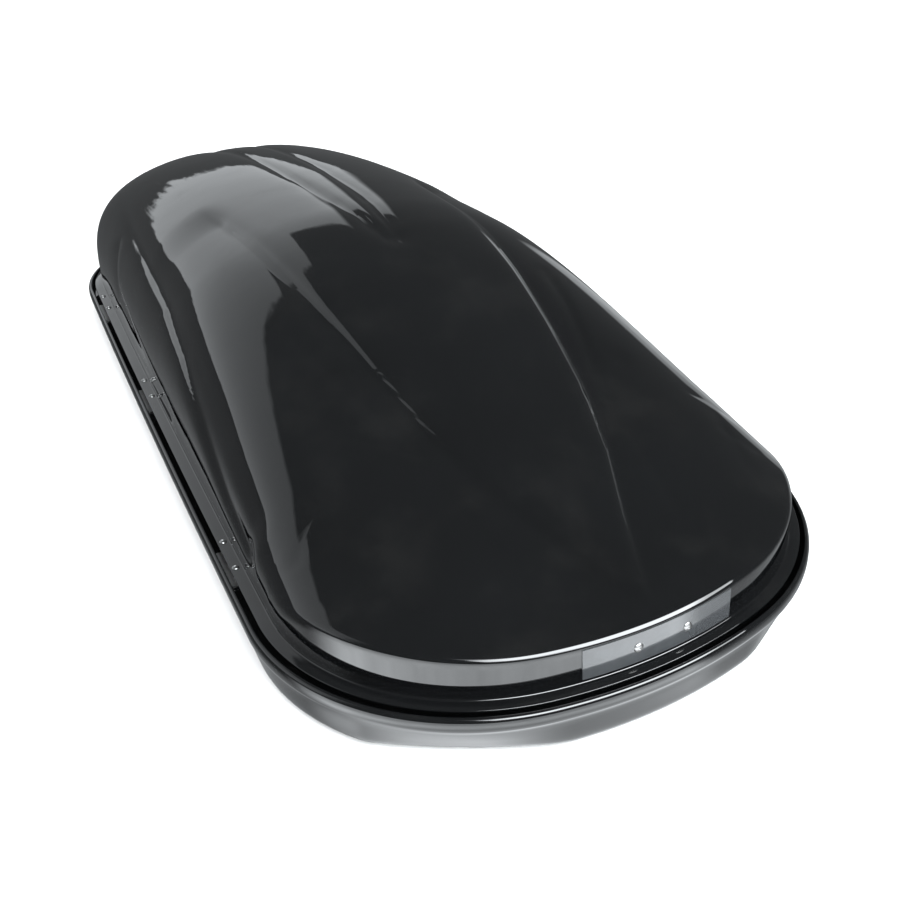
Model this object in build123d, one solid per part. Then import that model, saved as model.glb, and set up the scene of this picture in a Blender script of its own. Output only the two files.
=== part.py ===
from build123d import *
import os
from math import acos, asin, atan2, cos, degrees, hypot, radians, sin

# Roof cargo box, in millimetres. Nose at -Y, tail at +Y, +Z up, underside of the tray at Z = 0.
# The lid opens on a hinge along the left (-X) side and locks on the right (+X) side.

# Driving dimensions
LENGTH = 1950.0
WIDTH = 820.0
HEIGHT = 405.0
RIM_Z = 76.0                 # parting plane: the underside of the lid's flange

# Plan outline: five tangent arcs each side, given by the heading along the rim.
# Heading 0 runs along +X at the nose, 90 runs along +Y, 180 runs along -X at the tail.
NOSE_HEADING = 14.0          # the nose arc ends and the front corner starts
SIDE_START = 92.0            # the front corner ends and the long side starts
SIDE_END = 93.3              # the long side ends and the rear corner starts
TAIL_HEADING = 161.0         # the rear corner ends and the tail arc starts
FRONT_CORNER_R = 335.0
REAR_CORNER_R = 327.0

# Rim, as insets measured inwards from the outermost outline
BEAD_WALL = 8.0
FLANGE_EDGE = 14.5
SKIRT = 31.0
UPSTAND_OUT = 43.0
UPSTAND_IN = 46.0
BEAD_TOP = RIM_Z + 2
GUTTER_Z = RIM_Z - 20
UPSTAND_TOP = RIM_Z - 6
SHEET = 4.0                  # tray wall

# Lid
LID_WALL = 3.5
FLANGE = 3.5
SKIRT_H = 8.0                # straight skirt above the parting plane
NOSE_TOP = RIM_Z + 60        # top of the upright nose band
TAIL_TOP = RIM_Z + 98        # where the tail's round meets its upright band
CROWN_Y = -45.0              # highest section
NOSE_EASE = 0.66             # share of the rise from nose to crown that eases in as well as out
TAIL_ROUND = 2.1             # power of the tail's ellipse
SHOULDER = 3.2               # power of the cross-section's shoulder

# Hinge line: its own frame has X inboard, Y along the pins and Z up, on the left side
HINGE_INSET = 26.5
HINGE_Z = RIM_Z - 4.2
HINGE_STATIONS = (-475.0, 105.0, 560.0)
KNUCKLE_R = 3.5
PIN_R = 1.75
RUN = 0.05                   # radial clearance of a running fit
OPEN_ANGLE = 50.0

# Gas struts, in the hinge frame
STRUT_STATION = 600.0
STRUT_FOOT = (86.0, HINGE_Z - 46)
STRUT_HEAD = (110.0, HINGE_Z + 112)
STUD_R = 4.0
HEAD_STUD_R = 3.0
HEAD_EYE_R = 8.0             # loose eye: the pivot that is left open

# Lock and latch, in the hinge frame mirrored to the right side
BAR_X = 34.0
BAR_T = 3.0
BAR_Z = (RIM_Z + 10, RIM_Z + 32)
BAR_HALF = 520.0
LATCH_TRAVEL = 22.0
HOOK_STATIONS = (-420.0, 60.0, 420.0)
GUIDE_STATIONS = (-465.0, -160.0, 240.0, 465.0)
LOCK_Z = RIM_Z + 36
CAM_R = LATCH_TRAVEL / 2 / sin(radians(45))
TONGUE = 18.0

# Floor rails with the slots for the roof-bar bolts
RAIL_X = 245.0
RAIL_L = 900.0
RAIL_W = 44.0
RAIL_T = 2.5
SLOT_W = 8.5
SLOT_L = 240.0
SLOT_PITCH = 520.0


def s_(angle):
    return sin(radians(angle))


def c_(angle):
    return cos(radians(angle))


def arc_radii(side_r):
    """Nose and tail radii that close the outline on WIDTH, for one radius of the long side."""
    half = WIDTH / 2
    corner = FRONT_CORNER_R * (s_(SIDE_START) - s_(NOSE_HEADING))
    # the widest point lies where the heading is 90, inside the front corner
    nose_r = (half - FRONT_CORNER_R * (1 - s_(NOSE_HEADING))) / s_(NOSE_HEADING)
    side_x = nose_r * s_(NOSE_HEADING) + corner
    tail_x = side_x + side_r * (s_(SIDE_END) - s_(SIDE_START))
    rear = REAR_CORNER_R * (s_(SIDE_END) - s_(TAIL_HEADING))
    tail_r = (tail_x - rear) / s_(TAIL_HEADING)
    return (nose_r, FRONT_CORNER_R, side_r, REAR_CORNER_R, tail_r)


HEADINGS = (0.0, NOSE_HEADING, SIDE_START, SIDE_END, TAIL_HEADING, 180.0)


def arc_length_y(radii):
    return sum(r * (c_(a) - c_(b)) for r, a, b in zip(radii, HEADINGS, HEADINGS[1:]))


SHORT, LONG = 10000.0, 30000.0
LEN_SHORT = arc_length_y(arc_radii(SHORT))
LEN_LONG = arc_length_y(arc_radii(LONG))
SIDE_R = SHORT + (LENGTH - LEN_SHORT) * (LONG - SHORT) / (LEN_LONG - LEN_SHORT)
RADII = arc_radii(SIDE_R)


def rim_point(heading, inset=0.0):
    """Point of the outline, moved inwards by inset, on the right side of the box."""
    x, y = 0.0, -LENGTH / 2
    for radius, start, end in zip(RADII, HEADINGS, HEADINGS[1:]):
        cx, cy = x - radius * s_(start), y + radius * c_(start)
        if heading <= end or end == HEADINGS[-1]:
            return (cx + (radius - inset) * s_(heading), cy - (radius - inset) * c_(heading))
        x, y = cx + radius * s_(end), cy - radius * c_(end)


def rim_wire(inset, z):
    """Closed outline at one height: a nose arc, three arcs a side and a tail arc."""
    def at(heading, side=1):
        x, y = rim_point(heading, inset)
        return (side * x, y, z)

    edges = [ThreePointArc(at(NOSE_HEADING, -1), at(0), at(NOSE_HEADING))]
    spans = list(zip(HEADINGS[1:4], HEADINGS[2:5]))
    for a, b in spans:
        edges.append(ThreePointArc(at(a), at((a + b) / 2), at(b)))
    edges.append(ThreePointArc(at(TAIL_HEADING), at(180), at(TAIL_HEADING, -1)))
    for a, b in reversed(spans):
        edges.append(ThreePointArc(at(b, -1), at((a + b) / 2, -1), at(a, -1)))
    return Wire([e.edge() for e in edges])


def prism(inset, low, high):
    return extrude(Face(rim_wire(inset, low)), high - low, dir=(0, 0, 1))


def ring(outer, inner, low, high):
    return prism(outer, low, high) - prism(inner, low - 1, high + 1)


def stack(*levels):
    """Solid through outlines given as (inset, height), from the bottom up."""
    return Solid.make_loft([rim_wire(inset, z) for inset, z in levels], True)


# ---- lid form -------------------------------------------------------------------------------

WIDEST = rim_point(90, SKIRT)[0]
NOSE_Y = rim_point(0, SKIRT)[1]
TAIL_Y = rim_point(180, SKIRT)[1]


def crown(y):
    """Height of the lid along its centre line."""
    if y <= CROWN_Y:
        v = max(0.0, (y - NOSE_Y) / (CROWN_Y - NOSE_Y))
        rise = (1 - NOSE_EASE) * (1 - (1 - v) ** 2) + NOSE_EASE * v * v * (3 - 2 * v)
        return NOSE_TOP + (HEIGHT - NOSE_TOP) * rise
    u = min(1.0, (y - CROWN_Y) / (TAIL_Y - CROWN_Y))
    return TAIL_TOP + (HEIGHT - TAIL_TOP) * (1 - u ** TAIL_ROUND) ** (1 / TAIL_ROUND)


def lid_section(heading, depth):
    """Cross-section wire at one station, depth below the outer skin."""
    x, y = rim_point(heading, SKIRT + depth)
    reach = x if heading > 90 else WIDEST - depth
    base = RIM_Z + SKIRT_H
    top = crown(y) - depth
    limit = degrees(asin(min(1.0, x / reach)))
    steps = (0.18, 0.36, 0.53, 0.68, 0.80, 0.89, 0.95, 0.985, 1.0)
    right = []
    for step in steps:
        q = s_(limit * step)
        right.append((q * reach, y, base + (top - base) * max(0.0, 1 - q * q) ** (1 / SHOULDER)))
    skin = [(-px, py, pz) for px, py, pz in reversed(right)] + [(0, y, top)] + right
    foot = RIM_Z - (1 if depth else 0)
    left, far = (-x, y, foot), (x, y, foot)
    edges = [Line(left, skin[0]), Spline(*skin), Line(skin[-1], far), Line(far, left)]
    return Wire([e.edge() for e in edges])


def spread(start, end, steps):
    return [start + (end - start) * i / steps for i in range(steps + 1)]


def lid_stations():
    start_y = rim_point(SIDE_START)[1]
    top = degrees(acos(c_(SIDE_START) - (CROWN_Y - start_y) / SIDE_R))
    corner = spread(NOSE_HEADING, SIDE_START, 9)
    side = [SIDE_START, (SIDE_START + top) / 2, top, (top + SIDE_END) / 2]
    rear = spread(SIDE_END, TAIL_HEADING, 9)
    return [2, 5, 8, 11] + corner[:-1] + side + rear + [165, 170, 174, 177]


def lid_form(depth):
    """The lid as a full body, depth below its outer skin."""
    return Solid.make_loft([lid_section(h, depth) for h in lid_stations()], True)


# ---- placing --------------------------------------------------------------------------------

HINGE_HEADING = (SIDE_START + SIDE_END) / 2
HINGE_TILT = HINGE_HEADING - 90
HINGE_X, HINGE_Y = rim_point(HINGE_HEADING, HINGE_INSET)
HINGE_FRAME = Location((-HINGE_X, HINGE_Y, 0), (0, 0, -HINGE_TILT))


def left(shape):
    """From the hinge frame to the left side of the box."""
    return HINGE_FRAME * shape


def right(shape):
    """From the mirrored hinge frame to the right side of the box."""
    return mirror(HINGE_FRAME * shape, about=Plane.YZ)


def inset_x(inset, station):
    """X of an outline inset in the hinge frame, at a station along the side."""
    return inset - HINGE_INSET + station ** 2 / 2 / SIDE_R


def block(x0, x1, y0, y1, z0, z1):
    return Pos((x0 + x1) / 2, (y0 + y1) / 2, (z0 + z1) / 2) * Box(x1 - x0, y1 - y0, z1 - z0)


def rod(start, end, radius):
    """Round bar between two points."""
    a, b = Vector(start), Vector(end)
    return Solid.make_cylinder(radius, (b - a).length, Plane(origin=a, z_dir=b - a))


def dome(radius, height):
    """Low rivet head, standing on Z = 0."""
    ball = (radius ** 2 + height ** 2) / 2 / height
    return (Pos(0, 0, height - ball) * Sphere(ball)) & (Pos(0, 0, height / 2) * Cylinder(radius, height))


def rivet(at, out, grip, head_r=4.5, shank_r=2.0, tail=True):
    """Rivet with a domed head on one face, a shank through grip and a flat tail."""
    body = dome(head_r, head_r * 0.5) + Pos(0, 0, -grip / 2) * Cylinder(shank_r, grip)
    if tail:
        body += Pos(0, 0, -grip - TAIL_H / 2) * Cylinder(shank_r * 1.6, TAIL_H)
    return Plane(origin=at, z_dir=out).location * body


def shank(at, out, grip, shank_r=2.0):
    """Hole that fits the rivet's shank."""
    a = Vector(at)
    n = Vector(out).normalized()
    return rod(a + n * 3, a - n * (grip + 3), shank_r)


# ---- rivet places: (point, outward direction, grip) ------------------------------------------

RIVET_REACH = 35.0           # each leaf's rivets, either side of its middle
LEAF_T = 2.0
TAIL_H = 1.4                 # the floor's rivet tails lie in counterbores, flush with its underside

LID_LEAF_RIVETS = [((-2.5, s + k * RIVET_REACH, RIM_Z + FLANGE), (0, 0, 1), FLANGE + LEAF_T)
                   for s in HINGE_STATIONS for k in (-1, 1)]
TRAY_LEAF_RIVETS = [((0, s + k * RIVET_REACH, GUTTER_Z + LEAF_T), (0, 0, 1), SHEET + LEAF_T)
                    for s in HINGE_STATIONS for k in (-1, 1)]
STRIKER_T = 3.0
STRIKER_RIVETS = [((inset_x(UPSTAND_IN, s) + STRIKER_T, s + k * 5, RIM_Z - 15), (1, 0, 0), STRIKER_T + 3.3)
                  for s in HOOK_STATIONS for k in (-1, 1)]
GUIDE_SCREWS = [((inset_x(SKIRT, s), s, RIM_Z + 20), (-1, 0, 0), 12.0) for s in GUIDE_STATIONS]
RAIL_RIVETS = [((side * RAIL_X, y, SHEET + RAIL_T), (0, 0, 1), SHEET + RAIL_T - TAIL_H)
               for side in (-1, 1) for y in (-420, -60, 60, 420)]
FOOT_W = 30.0
FOOT_X = STRUT_FOOT[0]
FOOT_RIVETS = [((FOOT_X + k * 9, e * (STRUT_STATION + 20), SHEET + 3), (0, 0, 1), SHEET + 3 - TAIL_H)
               for e in (-1, 1) for k in (-1, 1)]
PLATE_ANGLE = 3.4            # heading of the nose plate's rivets
PLATE_T = 1.5
PLATE_HALF = 110.0
PLATE_Z = (RIM_Z + 9, RIM_Z + 53)


def plate_rivet(side):
    x, y = rim_point(PLATE_ANGLE, SKIRT - PLATE_T)
    out = (side * s_(PLATE_ANGLE), -c_(PLATE_ANGLE), 0)
    return ((side * x, y, sum(PLATE_Z) / 2), out, LID_WALL + PLATE_T + 0.5)


def heads(places, **sizes):
    return [rivet(at, out, grip, **sizes) for at, out, grip in places]


def holes(places, shank_r=2.0):
    return [shank(at, out, grip, shank_r) for at, out, grip in places]


def counterbores(places):
    return [rod((at[0], at[1], -1), (at[0], at[1], TAIL_H), 3.4) for at, out, grip in places]


# ---- tray -----------------------------------------------------------------------------------

def slots():
    cuts = []
    for side in (-1, 1):
        for k in (-1, 1):
            cut = extrude(Rot(0, 0, 90) * SlotOverall(SLOT_L, SLOT_W), 20, both=True)
            cuts.append(Pos(side * RAIL_X, k * SLOT_PITCH / 2, 0) * cut)
    return cuts


def base_tray():
    body = stack((26, 0), (9.5, 14), (7, RIM_Z - 22), (3, RIM_Z - 20), (0, RIM_Z - 15), (0, RIM_Z - 3),
                 (3.5, BEAD_TOP))
    body -= prism(BEAD_WALL, GUTTER_Z, BEAD_TOP + 5)
    body += ring(UPSTAND_OUT, UPSTAND_IN, GUTTER_Z - 1, UPSTAND_TOP)
    body -= stack((26 + SHEET, SHEET), (9.5 + SHEET, 16.5), (12.5, GUTTER_Z - SHEET))
    body -= prism(UPSTAND_IN, GUTTER_Z - SHEET - 1, UPSTAND_TOP + 5)
    cuts = slots() + holes(RAIL_RIVETS) + counterbores(RAIL_RIVETS)
    cuts += [left(h) for h in holes(TRAY_LEAF_RIVETS) + holes(FOOT_RIVETS) + counterbores(FOOT_RIVETS)]
    cuts += [right(h) for h in holes(STRIKER_RIVETS, 1.5)]
    return body - cuts


def rim_seal():
    body = ring(UPSTAND_OUT - 2.8, UPSTAND_IN + 2.8, RIM_Z - 11, RIM_Z - 1)
    return body - ring(UPSTAND_OUT - 0.1, UPSTAND_IN + 0.1, RIM_Z - 12, UPSTAND_TOP + 0.1)


def floor_rail(side):
    rail = block(-RAIL_W / 2, RAIL_W / 2, -RAIL_L / 2, RAIL_L / 2, SHEET, SHEET + RAIL_T)
    for k in (-1, 1):
        x0, x1 = sorted((k * RAIL_W / 2, k * (RAIL_W / 2 - RAIL_T)))
        rail += block(x0, x1, -RAIL_L / 2, RAIL_L / 2, SHEET, SHEET + 10)
    return Pos(side * RAIL_X, 0, 0) * rail - slots() - holes(RAIL_RIVETS)


# ---- hinges ---------------------------------------------------------------------------------

LEAF_HALF = 44.0
LID_KNUCKLE = 13.0           # half-length of the lid's knuckle
TRAY_KNUCKLE = (13.4, 21.4)
NOTCH = (13.2, 24.6)         # where the lid's leaf clears the tray's knuckles and the pin's head


def lid_leaf(s):
    top = RIM_Z
    leaf = block(-8, 10, s - LEAF_HALF, s + LEAF_HALF, top - LEAF_T, top)
    leaf += block(-3, 3, s - LID_KNUCKLE, s + LID_KNUCKLE, HINGE_Z, top - LEAF_T / 2)
    leaf += rod((0, s - LID_KNUCKLE, HINGE_Z), (0, s + LID_KNUCKLE, HINGE_Z), KNUCKLE_R)
    leaf -= rod((0, s - LID_KNUCKLE - 1, HINGE_Z), (0, s + LID_KNUCKLE + 1, HINGE_Z), PIN_R + RUN)
    leaf -= [rod((0, s + k * NOTCH[0], HINGE_Z), (0, s + k * NOTCH[1], HINGE_Z), KNUCKLE_R + 0.4) for k in (-1, 1)]
    return leaf - holes(LID_LEAF_RIVETS)


def tray_leaf(s):
    leaf = block(-14, 14, s - LEAF_HALF, s + LEAF_HALF, GUTTER_Z, GUTTER_Z + LEAF_T)
    for k in (-1, 1):
        y0, y1 = sorted(s + k * d for d in TRAY_KNUCKLE)
        leaf += block(-3, 3, y0, y1, GUTTER_Z + LEAF_T / 2, HINGE_Z)
        leaf += rod((0, y0, HINGE_Z), (0, y1, HINGE_Z), KNUCKLE_R)
    leaf -= rod((0, s - 30, HINGE_Z), (0, s + 30, HINGE_Z), PIN_R)
    return leaf - holes(TRAY_LEAF_RIVETS)


def hinge_pin(s):
    reach = TRAY_KNUCKLE[1]
    pin = rod((0, s - reach - 1, HINGE_Z), (0, s + reach, HINGE_Z), PIN_R)
    return pin + rod((0, s + reach, HINGE_Z), (0, s + reach + 2, HINGE_Z), 3.0)


# ---- gas struts -----------------------------------------------------------------------------

STRUT_L = hypot(STRUT_HEAD[0] - STRUT_FOOT[0], STRUT_HEAD[1] - STRUT_FOOT[1])
STRUT_LEAN = degrees(acos((STRUT_HEAD[0] - STRUT_FOOT[0]) / STRUT_L))
EYE_T = 8.0


def along(distance, y):
    """Point on the strut's centre line, at a distance from its foot stud."""
    return (STRUT_FOOT[0] + distance * c_(STRUT_LEAN), y, STRUT_FOOT[1] + distance * s_(STRUT_LEAN))


def strut_cylinder(end):
    y = end * STRUT_STATION
    body = rod(along(18, y), along(108, y), 7.5)
    body += rod(along(6, y), along(19, y), 4.0)
    body += rod(along(0, y - EYE_T / 2), along(0, y + EYE_T / 2), 9.0)
    body -= rod(along(0, y - EYE_T), along(0, y + EYE_T), STUD_R + RUN)
    return body - rod(along(22, y), along(109, y), 3.0 + 0.08)


def strut_rod(end):
    y = end * STRUT_STATION
    body = rod(along(26, y), along(STRUT_L - 10, y), 3.0)
    body += rod(along(STRUT_L, y - EYE_T / 2), along(STRUT_L, y + EYE_T / 2), 13.0)
    return body - rod(along(STRUT_L, y - EYE_T), along(STRUT_L, y + EYE_T), HEAD_EYE_R)


def studded_plate(end, plate, centre, stud_r):
    """A plate beside the strut, with a stud through the strut's eye."""
    y = end * STRUT_STATION
    near, far = y + end * (EYE_T / 2 + 1), y - end * (EYE_T / 2 + 3)
    return plate + rod((centre[0], near, centre[1]), (centre[0], far, centre[1]), stud_r)


def strut_tray_bracket(end):
    y = end * STRUT_STATION
    x0, x1 = FOOT_X - FOOT_W / 2, FOOT_X + FOOT_W / 2
    y0, y1 = sorted((y + end * 5, y + end * 8))
    plate = block(x0, x1, y0, y1, SHEET, STRUT_FOOT[1] + 12)
    y0, y1 = sorted((y + end * 5, y + end * 32))
    plate += block(x0, x1, y0, y1, SHEET, SHEET + 3)
    return studded_plate(end, plate, STRUT_FOOT, STUD_R) - holes(FOOT_RIVETS)


def strut_lid_bracket(end, ceiling):
    """Hangs from the lid's inner skin, which it is bonded to."""
    y = end * STRUT_STATION
    y0, y1 = sorted((y + end * 5, y + end * 8))
    x, z = STRUT_HEAD
    plate = block(x - 16, x + 16, y0, y1, z - 14, HEIGHT)
    y0, y1 = sorted((y + end * 5, y + end * 20))
    foot = block(x - 16, x + 16, y0, y1, z + 22, HEIGHT)
    foot -= block(x - 13, x + 13, y0 + (3 if end > 0 else -1), y1 + (1 if end > 0 else -3), z, HEIGHT)
    plate = left(studded_plate(end, plate + foot, STRUT_HEAD, HEAD_STUD_R))
    return plate & ceiling


def strut_clip(end, centre, stud_r, radius):
    """Push-on washer at the free end of a stud."""
    y = end * (STRUT_STATION - EYE_T / 2)
    a, b = y - end * 0.6, y - end * 2.2
    washer = rod((centre[0], a, centre[1]), (centre[0], b, centre[1]), radius)
    return washer - rod((centre[0], a + end, centre[1]), (centre[0], b - end, centre[1]), stud_r)


# ---- latch and lock -------------------------------------------------------------------------

def latch_striker(s):
    """Tongue on the tray's upstand that a hook slides under."""
    x_in = inset_x(UPSTAND_IN, s)
    body = block(x_in - 8, BAR_X - 1, s - TONGUE / 2, s + TONGUE / 2, RIM_Z - 23, RIM_Z - 19.5)
    body += block(x_in - 8, x_in + STRIKER_T, s - TONGUE / 2, s + TONGUE / 2, RIM_Z - 23, RIM_Z - 11.5)
    return (right(body) & prism(UPSTAND_IN, 0, RIM_Z)) - [right(h) for h in holes(STRIKER_RIVETS, 1.5)]


def latch_bar():
    bar = block(BAR_X, BAR_X + BAR_T, -BAR_HALF, BAR_HALF, *BAR_Z)
    window_y = -LATCH_TRAVEL / 2
    return bar - block(BAR_X - 1, BAR_X + BAR_T + 1, window_y - 3.2, window_y + 3.2, LOCK_Z - 18.8, LOCK_Z - 7.7)


def latch_hook(s):
    y0 = s - LATCH_TRAVEL - TONGUE / 2
    y1 = y0 + TONGUE
    x0 = BAR_X + BAR_T
    arm = block(x0, x0 + 3, y0, y1, RIM_Z - 28, BAR_Z[1] - 2)
    return arm + block(BAR_X - 5, x0 + 3, y0, y1, RIM_Z - 29, RIM_Z - 24.5)


def latch_guide(s, ceiling):
    body = block(0, BAR_X + 8, s - 12, s + 12, RIM_Z + 6, RIM_Z + 36)
    body -= block(BAR_X - 0.3, BAR_X + BAR_T + 0.3, s - 13, s + 13, BAR_Z[0] - 0.3, BAR_Z[1] + 0.3)
    return (right(body) & ceiling) - [right(h) for h in holes(GUIDE_SCREWS)]


LOCK_FACE = -1.0             # outer face of the escutcheon, in the mirrored hinge frame
CYLINDER_R = 10.0
BARREL_R = 13.0


def lock_axis(x0, x1, radius):
    return rod((x0, 0, LOCK_Z), (x1, 0, LOCK_Z), radius)


def lock_housing():
    x_skin = inset_x(SKIRT, 0)
    body = lock_axis(LOCK_FACE, x_skin, 19.0) + lock_axis(x_skin - 1, 26, BARREL_R)
    return body - lock_axis(LOCK_FACE - 1, 27, CYLINDER_R)


def lock_nut():
    x_in = inset_x(SKIRT + LID_WALL, 0) + 0.9
    hexagon = extrude(RegularPolygon(20, 6), 5)
    nut = Plane(origin=(x_in, 0, LOCK_Z), z_dir=(1, 0, 0)).location * hexagon
    return nut - lock_axis(x_in - 1, x_in + 6, BARREL_R)


def lock_cylinder():
    body = lock_axis(LOCK_FACE + 0.5, 27.5, CYLINDER_R - RUN)
    return body - block(LOCK_FACE - 1, 17, -1.2, 1.2, LOCK_Z - 4.2, LOCK_Z + 4.2)


def lock_cam():
    """Arm and pin behind the cylinder, 45 degrees before its middle when unlocked."""
    arm = block(27.5, 30.5, -4.5, 4.5, LOCK_Z - CAM_R, LOCK_Z) + lock_axis(27.5, 30.5, 8)
    arm += rod((27.5, 0, LOCK_Z - CAM_R), (30.5, 0, LOCK_Z - CAM_R), 4.5)
    arm += rod((30, 0, LOCK_Z - CAM_R), (40, 0, LOCK_Z - CAM_R), 2.5)
    return arm.rotate(Axis((0, 0, LOCK_Z), (1, 0, 0)), -45)


def key():
    blade = block(LOCK_FACE - 5, 15, -1, 1, LOCK_Z - 3.8, LOCK_Z + 3.8)
    blade -= block(0, 16, -2, 2, LOCK_Z - 4, LOCK_Z - 2.4)
    bow = Plane(origin=(-14, 0, LOCK_Z), z_dir=(0, 1, 0)).location * Cylinder(9.5, 3)
    bow -= Plane(origin=(-18, 0, LOCK_Z), z_dir=(0, 1, 0)).location * Cylinder(2.5, 4)
    return blade + bow


# ---- lid ------------------------------------------------------------------------------------

def lid_shell():
    shell = lid_form(0) - lid_form(LID_WALL)
    shell += ring(FLANGE_EDGE, SKIRT + LID_WALL - 1, RIM_Z, RIM_Z + FLANGE)
    cuts = [left(h) for h in holes(LID_LEAF_RIVETS)]
    cuts += [right(h) for h in holes(GUIDE_SCREWS)]
    cuts += [right(lock_axis(-10, 20, BARREL_R))]
    cuts += holes([plate_rivet(-1), plate_rivet(1)])
    return shell - cuts


def front_plate():
    """Thin plate bent round the nose band."""
    plate = ring(SKIRT - PLATE_T, SKIRT, *PLATE_Z)
    plate &= block(-PLATE_HALF, PLATE_HALF, -LENGTH, -LENGTH / 2 + 60, *PLATE_Z)
    return plate - holes([plate_rivet(-1), plate_rivet(1)])


# ---- build ----------------------------------------------------------------------------------

def build_nodes():
    skin = lid_form(LID_WALL)
    nodes = {
        "base_tray": base_tray(),
        "rim_seal": rim_seal(),
        "floor_rail_left": floor_rail(-1),
        "floor_rail_right": floor_rail(1),
        "floor_rail_rivets": heads(RAIL_RIVETS),
        "hinge_tray_rivets": [left(r) for r in heads(TRAY_LEAF_RIVETS)],
        "hinge_pins": [left(hinge_pin(s)) for s in HINGE_STATIONS],
        "strut_bracket_rivets": [left(r) for r in heads(FOOT_RIVETS)],
        "latch_strikers": [latch_striker(s) for s in HOOK_STATIONS],
        "latch_striker_rivets": [right(r) for r in heads(STRIKER_RIVETS, head_r=2.8, shank_r=1.5)],
        "lid_shell": lid_shell(),
        "front_plate": front_plate(),
        "front_plate_rivets": heads([plate_rivet(-1), plate_rivet(1)], head_r=5.5),
        "hinge_lid_rivets": [left(r) for r in heads(LID_LEAF_RIVETS, head_r=5.0)],
        "latch_guides": [latch_guide(s, skin) for s in GUIDE_STATIONS],
        "latch_guide_screws": [right(r) for r in heads(GUIDE_SCREWS, tail=False)],
        "lock_housing": right(lock_housing()),
        "lock_nut": right(lock_nut()),
        "lock_cylinder": right(lock_cylinder()),
        "lock_cam": right(lock_cam()),
        "key": right(key()),
        "latch_bar": right(latch_bar()),
        "latch_hooks": [right(latch_hook(s)) for s in HOOK_STATIONS],
        "strut_tray_clips": [left(strut_clip(e, STRUT_FOOT, STUD_R, 7)) for e in (-1, 1)],
        "strut_lid_clips": [left(strut_clip(e, STRUT_HEAD, HEAD_STUD_R, 12)) for e in (-1, 1)],
    }
    for place, station in zip(("front", "middle", "rear"), HINGE_STATIONS):
        nodes["hinge_tray_leaf_" + place] = left(tray_leaf(station))
        nodes["hinge_lid_leaf_" + place] = left(lid_leaf(station))
    for place, end in (("front", -1), ("rear", 1)):
        nodes["strut_tray_bracket_" + place] = left(strut_tray_bracket(end))
        nodes["strut_lid_bracket_" + place] = strut_lid_bracket(end, skin)
        nodes["strut_cylinder_" + place] = left(strut_cylinder(end))
        nodes["strut_rod_" + place] = left(strut_rod(end))
    return nodes


def write_nodes(nodes):
    os.makedirs("parts", exist_ok=True)
    for name, shape in nodes.items():
        pieces = shape if isinstance(shape, list) else [shape]
        solids = [solid for piece in pieces for solid in piece.solids()]
        export_step(solids[0] if len(solids) == 1 else Compound(solids), f"parts/{name}.step")


write_nodes(build_nodes())
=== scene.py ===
import math

import bmesh
import bpy
import numpy as np
from mathutils import Matrix, Vector


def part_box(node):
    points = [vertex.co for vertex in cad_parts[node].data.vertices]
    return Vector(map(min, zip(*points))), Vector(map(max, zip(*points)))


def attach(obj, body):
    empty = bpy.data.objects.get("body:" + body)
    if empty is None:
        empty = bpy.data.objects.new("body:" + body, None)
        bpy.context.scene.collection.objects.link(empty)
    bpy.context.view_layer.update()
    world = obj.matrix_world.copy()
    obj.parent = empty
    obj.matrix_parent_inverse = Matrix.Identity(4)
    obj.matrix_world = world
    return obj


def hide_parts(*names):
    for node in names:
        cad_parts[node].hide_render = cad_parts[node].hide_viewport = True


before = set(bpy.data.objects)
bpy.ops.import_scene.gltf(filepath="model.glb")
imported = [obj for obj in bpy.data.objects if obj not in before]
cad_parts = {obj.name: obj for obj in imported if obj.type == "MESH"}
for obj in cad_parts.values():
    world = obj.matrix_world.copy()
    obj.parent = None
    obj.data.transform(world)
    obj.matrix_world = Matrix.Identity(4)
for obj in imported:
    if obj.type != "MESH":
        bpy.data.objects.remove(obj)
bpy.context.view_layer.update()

MM = 0.001
tray_low, tray_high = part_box("base_tray")
lid_low, lid_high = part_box("lid_shell")

# ---- the box's form, in millimetres; headings and other angles in degrees ---------------------

LENGTH = (tray_high.y - tray_low.y) / MM
WIDTH = (tray_high.x - tray_low.x) / MM
HEIGHT = lid_high.z / MM
RIM_Z = lid_low.z / MM           # parting plane, the underside of the lid's flange
FLANGE = 3.5                     # thickness of the lid's flange
WALL = 3.5                       # thickness of the lid's sheet
SKIRT = 31.0                     # lid wall, in from the outermost outline
FLANGE_EDGE = 14.5               # outer edge of the flange, in from the outermost outline
BASE_Z = RIM_Z + 8               # the lid's curved form starts here, above a short upright skirt
NOSE_TOP = RIM_Z + 60            # top of the upright nose band
TAIL_TOP = RIM_Z + 98            # where the tail's round meets its upright band
CROWN_Y = -45.0                  # highest section
NOSE_EASE = 0.66                 # share of the rise from nose to crown that eases in as well as out
TAIL_ROUND = 2.1                 # power of the tail's curve
SHOULDER = 3.2                   # power of the cross-section's shoulder
EDGE_ROUND = 9.0                 # largest radius of the edge between the nose band and the top

# plan outline: headings where its arcs meet, and the radii of the two corners
HEADINGS = (0.0, 14.0, 92.0, 93.3, 161.0, 180.0)
FRONT_CORNER_R = 335.0
REAR_CORNER_R = 327.0


def rad_sin(angle):
    return np.sin(np.radians(angle))


def rad_cos(angle):
    return np.cos(np.radians(angle))


def arc_radii(side_r):
    """Nose and tail radii that close the outline on the box's width."""
    _, nose, start, end, tail, _ = HEADINGS
    nose_r = (WIDTH / 2 - FRONT_CORNER_R * (1 - rad_sin(nose))) / rad_sin(nose)
    side_x = nose_r * rad_sin(nose) + FRONT_CORNER_R * (rad_sin(start) - rad_sin(nose))
    tail_x = side_x + side_r * (rad_sin(end) - rad_sin(start))
    tail_r = (tail_x - REAR_CORNER_R * (rad_sin(end) - rad_sin(tail))) / rad_sin(tail)
    return (nose_r, FRONT_CORNER_R, side_r, REAR_CORNER_R, tail_r)


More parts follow.
